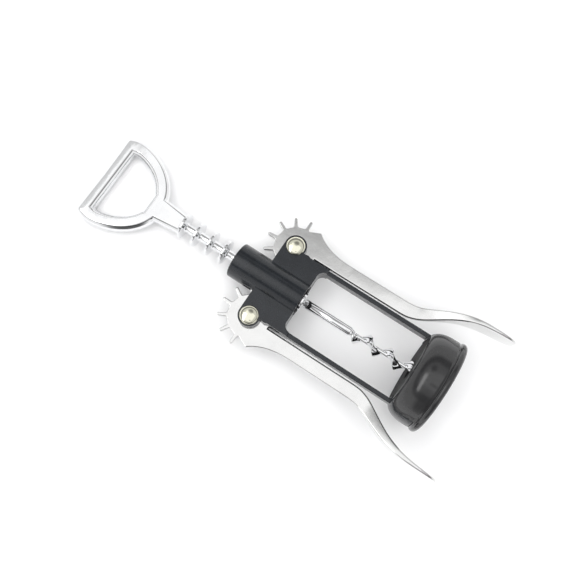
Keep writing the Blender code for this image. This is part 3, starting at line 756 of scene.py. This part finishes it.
def rivet_pieces():
    """On each pivot a domed rivet from the front and the tubular cap that closes it at the back."""
    head = RIVET_HIGH.y - PIVOT_OFFSET
    dome = RIVET_HIGH.z - RIVET_SEAT

    def head_profile(level, sign):
        found = [(level + sign * dome, 0.0)]
        steps = 24
        for i in range(1, steps + 1):
            t = math.pi / 2 * i / steps
            rise = (dome - RIVET_EDGE) * math.cos(t) + RIVET_EDGE
            found.append((level + sign * rise, (head - RIVET_EDGE / 2) * math.sin(t)))
        found += [(level + sign * RIVET_EDGE / 2, head), (level, head - 0.1)]
        return found

    tube_bore = RIVET_SHANK_RADIUS + SEAT_GAP / 2
    tube_end = RIVET_LOW.z - SEAT_GAP
    rivet = head_profile(RIVET_SEAT, 1) + [(RIVET_SEAT, RIVET_SHANK_RADIUS)]
    rivet += [(RIVET_LOW.z, RIVET_SHANK_RADIUS), (RIVET_LOW.z, 0.0)]
    cap = head_profile(-RIVET_SEAT, -1) + [(-RIVET_SEAT, RIVET_TUBE_RADIUS)]
    cap += [(CAP_INNER_Z, RIVET_TUBE_RADIUS), (CAP_INNER_Z, tube_bore)]
    cap += [(tube_end, tube_bore), (tube_end, 0.0)]
    for side, y in (("right", PIVOT_OFFSET), ("left", -PIVOT_OFFSET)):
        for name, profile in (("pivot_rivet", rivet), ("rivet_cap", cap)):
            made = new_object(f"{name}_{side}_bright", revolve(profile, 96), NICKEL)
            place = Matrix.Translation((0, y, 0)) @ Matrix.Rotation(-math.pi / 2, 4, "Y")
            made.data.transform(place)
            finish_piece(made, "body", (f"{name}_{side}",), sharp=60, weighted=False)


# Rack, handle and worm


def handle_outlines():
    """The bottle-opener handle and its neck, then its D-shaped opening."""
    back = HANDLE_BACK
    corner_centre = (back + HANDLE_CORNER, HANDLE_CORNER_Y - HANDLE_CORNER)
    corner = arc(corner_centre, HANDLE_CORNER, 180, 100, 7)
    pull = [(corner[-1][0] + 0.18 * HANDLE_LENGTH, 1.16 * HANDLE_CORNER_Y)]
    pull.append((NECK_TOP - 0.15 * HANDLE_LENGTH, 0.95 * HANDLE_CORNER_Y))
    curve = bezier([corner[-1], *pull, (NECK_TOP, NECK_HALF_WIDTH)], 48)
    half = corner + curve[1:] + [(FIRST_RING_X, NECK_END_HALF_WIDTH)]
    outer = [(back + BACK_HOLLOW, 0.0)] + half + [(x, -y) for x, y in half[::-1]]
    inside = []
    for before, here, after in zip(curve, curve[1:], curve[2:]):
        along = (Vector(after) - Vector(before)).normalized()
        place = Vector(here) + BOW_WIDTH * Vector((along.y, -along.x))
        if back + BACK_BAR + 1.5 < place.x < LIP_X - 0.6:
            inside.append(tuple(place))
    start = (back + BACK_BAR, inside[0][1] - 0.3)
    end = (LIP_X, inside[-1][1] - 0.8)
    half = [start] + inside + [end]
    return outer, half + [(x, -y) for x, y in half[::-1]]


def soft_plate(outlines, thickness, edge, power, steps):
    """Flat plate centred on z = 0. Its edges fall away along a curve between a chamfer and a round."""
    level = thickness / 2 - edge
    bm = plate(outlines, -level, level)
    bmesh.ops.recalc_face_normals(bm, faces=bm.faces)
    places = [(0.0, 0.0)]
    for i in range(1, steps + 1):
        t = math.pi / 2 * i / steps
        places.append((edge * (1 - math.cos(t) ** power), edge * math.sin(t) ** power))
    for side in (level, -level):
        flat = [f for f in bm.faces if all(abs(v.co.z - side) < 1e-5 for v in f.verts)]
        for (inset, height), (next_inset, next_height) in zip(places, places[1:]):
            bmesh.ops.inset_region(
                bm,
                faces=flat,
                thickness=next_inset - inset,
                depth=next_height - height,
                use_even_offset=True,
            )
    return bm


def rack_profile():
    """The spindle and its rings as (x, radius) points, with rounded rims and roots."""
    profile = [(FIRST_RING_X - RING_ROOT, 0.0), (FIRST_RING_X - RING_ROOT, SPINDLE_RADIUS)]
    radii = [0, 0]
    for i in range(RING_COUNT):
        x = FIRST_RING_X + i * RING_PITCH
        profile += [(x - RING_ROOT / 2, SPINDLE_RADIUS), (x - RING_RIM / 2, RING_RADIUS)]
        profile += [(x + RING_RIM / 2, RING_RADIUS), (x + RING_ROOT / 2, SPINDLE_RADIUS)]
        radii += [0.9, 0.4, 0.4, 0.9]
    profile += [(RACK_HIGH.x, SPINDLE_RADIUS), (RACK_HIGH.x, 0.0)]
    return rounded(profile, radii + [0.2, 0], 6)


def rack_piece():
    shape = soft_plate(handle_outlines(), HANDLE_THICKNESS, HANDLE_CHAMFER, 1.45, 8)
    made = new_object("bright_handle_rack", shape, CHROME)
    rack = new_object("helper", revolve(rack_profile(), 96))
    boolean(made, rack, "UNION")
    bake(made, [rack])
    return finish_piece(made, "screw", ("handle_rack",), sharp=40)


def ferrule_piece():
    bore = TANG_RADIUS + 0.05
    low, high, radius = FERRULE_LOW.x, FERRULE_HIGH.x, FERRULE_HIGH.y
    ring = [(low, bore), (low, radius), (high, radius), (high, bore)]
    made = new_object("bright_ferrule", revolve(rounded(ring, (0.1, 0.4, 0.4, 0.1)), 96), CHROME)
    finish_piece(made, "screw", ("worm_ferrule",), sharp=40)


def worm_stations():
    """Tang, shank and thread as (x, core radius, thread height, turn), from the rack to the point."""
    shank_start = FERRULE_HIGH.x + SEAT_GAP
    end = SHANK_RADIUS - SHANK_EDGE
    outline = [(WORM_LOW.x, TANG_RADIUS), (shank_start, TANG_RADIUS), (shank_start, SHANK_RADIUS - 0.15)]
    outline += [(shank_start + 0.15, SHANK_RADIUS), (SHANK_END_X - SHANK_EDGE, SHANK_RADIUS)]
    found = [(x, radius, 0.0, WORM_PHASE) for x, radius in outline]
    for i in range(1, 5):
        t = math.pi / 2 * i / 4
        radius = end + SHANK_EDGE * math.cos(t)
        found.append((SHANK_END_X - SHANK_EDGE * (1 - math.sin(t)), radius, 0.0, WORM_PHASE))
    length = WORM_HIGH.x - SHANK_END_X
    count = round(length / WORM_PITCH * 72)
    for i in range(1, count + 1):
        run = length * i / count
        grown = smooth(run, 0, WORM_LEAD_OUT)
        taper = min(1.0, WORM_TIP + (length - run) / (WORM_PITCH / 2))
        core = end + (WORM_CORE_RADIUS - end) * grown
        height = (WORM_RADIUS - WORM_CORE_RADIUS) * grown
        turn = WORM_PHASE + 2 * math.pi * run / WORM_PITCH
        found.append((SHANK_END_X + run, core * taper, height * taper, turn))
    return found


def worm_piece():
    """Tang, shank and auger in one piece: a round core with a right-hand thread round it."""
    section = []
    for i in range(60):
        angle = -105 + 3.5 * i
        section.append((angle, min(1.0, (max(0.0, 105 - abs(angle)) / 101) ** 1.55)))
    section += [(angle, 0.0) for angle in (105, 120, 135, 150, 165, 180, 195, 210, 225, 240)]
    bm = bmesh.new()
    rings = []
    for x, core, height, turn in worm_stations():
        ring = []
        for angle, share in section:
            around = turn + math.radians(angle)
            radius = core + height * share
            ring.append(bm.verts.new((x, radius * math.cos(around), radius * math.sin(around))))
        rings.append(ring)
    for one, two in zip(rings, rings[1:]):
        for k in range(len(section)):
            bm.faces.new((one[k - 1], one[k], two[k], two[k - 1]))
    bm.faces.new(rings[0])
    bm.faces.new(rings[-1])
    made = new_object("bright_worm", bm, CHROME)
    finish_piece(made, "screw", ("worm",), sharp=50, weighted=False)


def bush_piece():
    low, high = BUSH_LOW.x, BUSH_HIGH.x
    ring = [(low, BORE_RADIUS), (low, BUSH_HIGH.y), (high, BUSH_HIGH.y), (high, BORE_RADIUS)]
    made = new_object("turned_bush", revolve(rounded(ring, (0.2, 0.2, 0.3, 0.3)), 96), ACETAL)
    finish_piece(made, "bush", ("guide_bush",), sharp=40)


# Stage


def camera():
    target = Vector((6.84, 1.55, 0.0))
    azimuth, elevation, distance = math.radians(33.19), math.radians(76.94), 297.69
    back = Vector((math.sin(azimuth) * math.cos(elevation),
                   -math.cos(azimuth) * math.cos(elevation), math.sin(elevation)))
    right = Vector((0, 0, 1)).cross(back).normalized()
    turn = Matrix((right, back.cross(right), back)).transposed().to_4x4()
    data = bpy.data.cameras.new("camera")
    data.sensor_width = 36
    data.lens = 42.74
    data.clip_start, data.clip_end = 0.01, 20
    made = bpy.data.objects.new("camera", data)
    bpy.context.scene.collection.objects.link(made)
    place = TOOL @ Matrix.Translation(target + back * distance) @ turn
    location, rotation, _ = place.decompose()
    made.location = location
    made.rotation_mode = "QUATERNION"
    made.rotation_quaternion = rotation
    bpy.context.scene.camera = made


def floor():
    size = 6.0
    bm = bmesh.new()
    bmesh.ops.create_grid(bm, x_segments=1, y_segments=1, size=size)
    bmesh.ops.translate(bm, verts=bm.verts, vec=(0, 0, -0.0002))
    mesh = bpy.data.meshes.new("floor")
    bm.to_mesh(mesh)
    bm.free()
    made = bpy.data.objects.new("floor", mesh)
    bpy.context.scene.collection.objects.link(made)
    paper, nodes, links, shader = shader_of("paper")
    shader.inputs["Base Color"].default_value = (0.93, 0.93, 0.935, 1)
    shader.inputs["Roughness"].default_value = 0.9
    shader.inputs["Specular IOR Level"].default_value = 0.1
    mesh.materials.append(paper)


def area_light(name, direction, distance, size, power, glossy=True):
    """A soft square light that looks at the tool from a direction in the tool frame."""
    data = bpy.data.lights.new(name, "AREA")
    data.shape = "RECTANGLE"
    data.size, data.size_y = size
    data.energy = power
    made = bpy.data.objects.new(name, data)
    bpy.context.scene.collection.objects.link(made)
    way = (TOOL.to_3x3() @ Vector(direction)).normalized()
    made.location = TOOL.translation + way * distance
    made.rotation_mode = "QUATERNION"
    made.rotation_quaternion = way.to_track_quat("Z", "Y")
    made.visible_glossy = glossy


def world():
    """A pale studio: a square light overhead, a bright strip towards the handle, a dim ring where
    the roof meets the bright walls, and dim patches for the dark things that the chrome reflects."""
    made = bpy.data.worlds.new("studio")
    bpy.context.scene.world = made
    made.use_nodes = True
    nodes, links = made.node_tree.nodes, made.node_tree.links
    background = nodes["Background"]
    coordinates = nodes.new("ShaderNodeTexCoord")
    direction = coordinates.outputs["Generated"]

    def dot(way):
        step = nodes.new("ShaderNodeVectorMath")
        step.operation = "DOT_PRODUCT"
        step.inputs[1].default_value = (TOOL.to_3x3() @ Vector(way)).normalized()
        links.new(direction, step.inputs[0])
        return step.outputs["Value"]

    def maths(operation, first, second):
        step = nodes.new("ShaderNodeMath")
        step.operation = operation
        for socket, value in zip(step.inputs, (first, second)):
            if isinstance(value, float):
                socket.default_value = value
            else:
                links.new(value, socket)
        return step.outputs["Value"]

    def eased(value, start, end, low, high):
        step = nodes.new("ShaderNodeMapRange")
        step.interpolation_type = "SMOOTHSTEP"
        step.inputs["From Min"].default_value = start
        step.inputs["From Max"].default_value = end
        step.inputs["To Min"].default_value = low
        step.inputs["To Max"].default_value = high
        links.new(value, step.inputs["Value"])
        return step.outputs["Result"]

    def facing(way, inner, outer, outside, inside):
        """A soft round patch of light or dark, centred on a direction in the tool frame."""
        start, end = math.cos(math.radians(outer)), math.cos(math.radians(inner))
        return eased(dot(way), start, end, outside, inside)

    def pane(centre, half, soft):
        """1 inside a soft-edged oblong of sky, 0 outside it. Its sides follow the tool frame."""
        up = maths("MAXIMUM", dot((0, 0, 1)), 0.05)
        inside = None
        for axis, middle, side in zip(((1, 0, 0), (0, 1, 0)), centre, half):
            off = maths("SUBTRACT", maths("DIVIDE", dot(axis), up), middle)
            part = eased(maths("ABSOLUTE", off, 0.0), side - soft, side + soft, 1.0, 0.0)
            inside = part if inside is None else maths("MULTIPLY", inside, part)
        return inside

    sky = facing((0, 0, 1), 36, 44, 0.22, 0.72)
    sky = maths("ADD", sky, facing((0, 0, 1), 54, 62, 0.80, 0.0))
    sky = maths("ADD", sky, maths("MULTIPLY", pane((-0.07, -0.05), (0.38, 0.38), 0.02), 0.45))
    sky = maths("ADD", sky, maths("MULTIPLY", pane((-0.42, -0.42), (0.13, 0.5), 0.06), 2.6))
    for patch in (
        facing((-0.17, 0.40, 1), 4, 12, 1.0, 0.36),
        facing((0.5, -0.85, 0.35), 14, 38, 1.0, 0.12),
        facing((0.15, -0.22, 1), 2.5, 4.5, 1.0, 0.4),
    ):
        sky = maths("MULTIPLY", sky, patch)
    background.inputs["Color"].default_value = (1.0, 1.0, 1.0, 1.0)
    links.new(sky, background.inputs["Strength"])


bpy.context.scene.view_settings.view_transform = "Standard"
frame_piece()
bell_piece()
lever_pieces()
rivet_pieces()
rack_piece()
ferrule_piece()
worm_piece()
bush_piece()
floor()
camera()
world()
area_light("fill", (0.1, -0.15, 1), 1.5, (2.4, 2.4), 24, glossy=False)
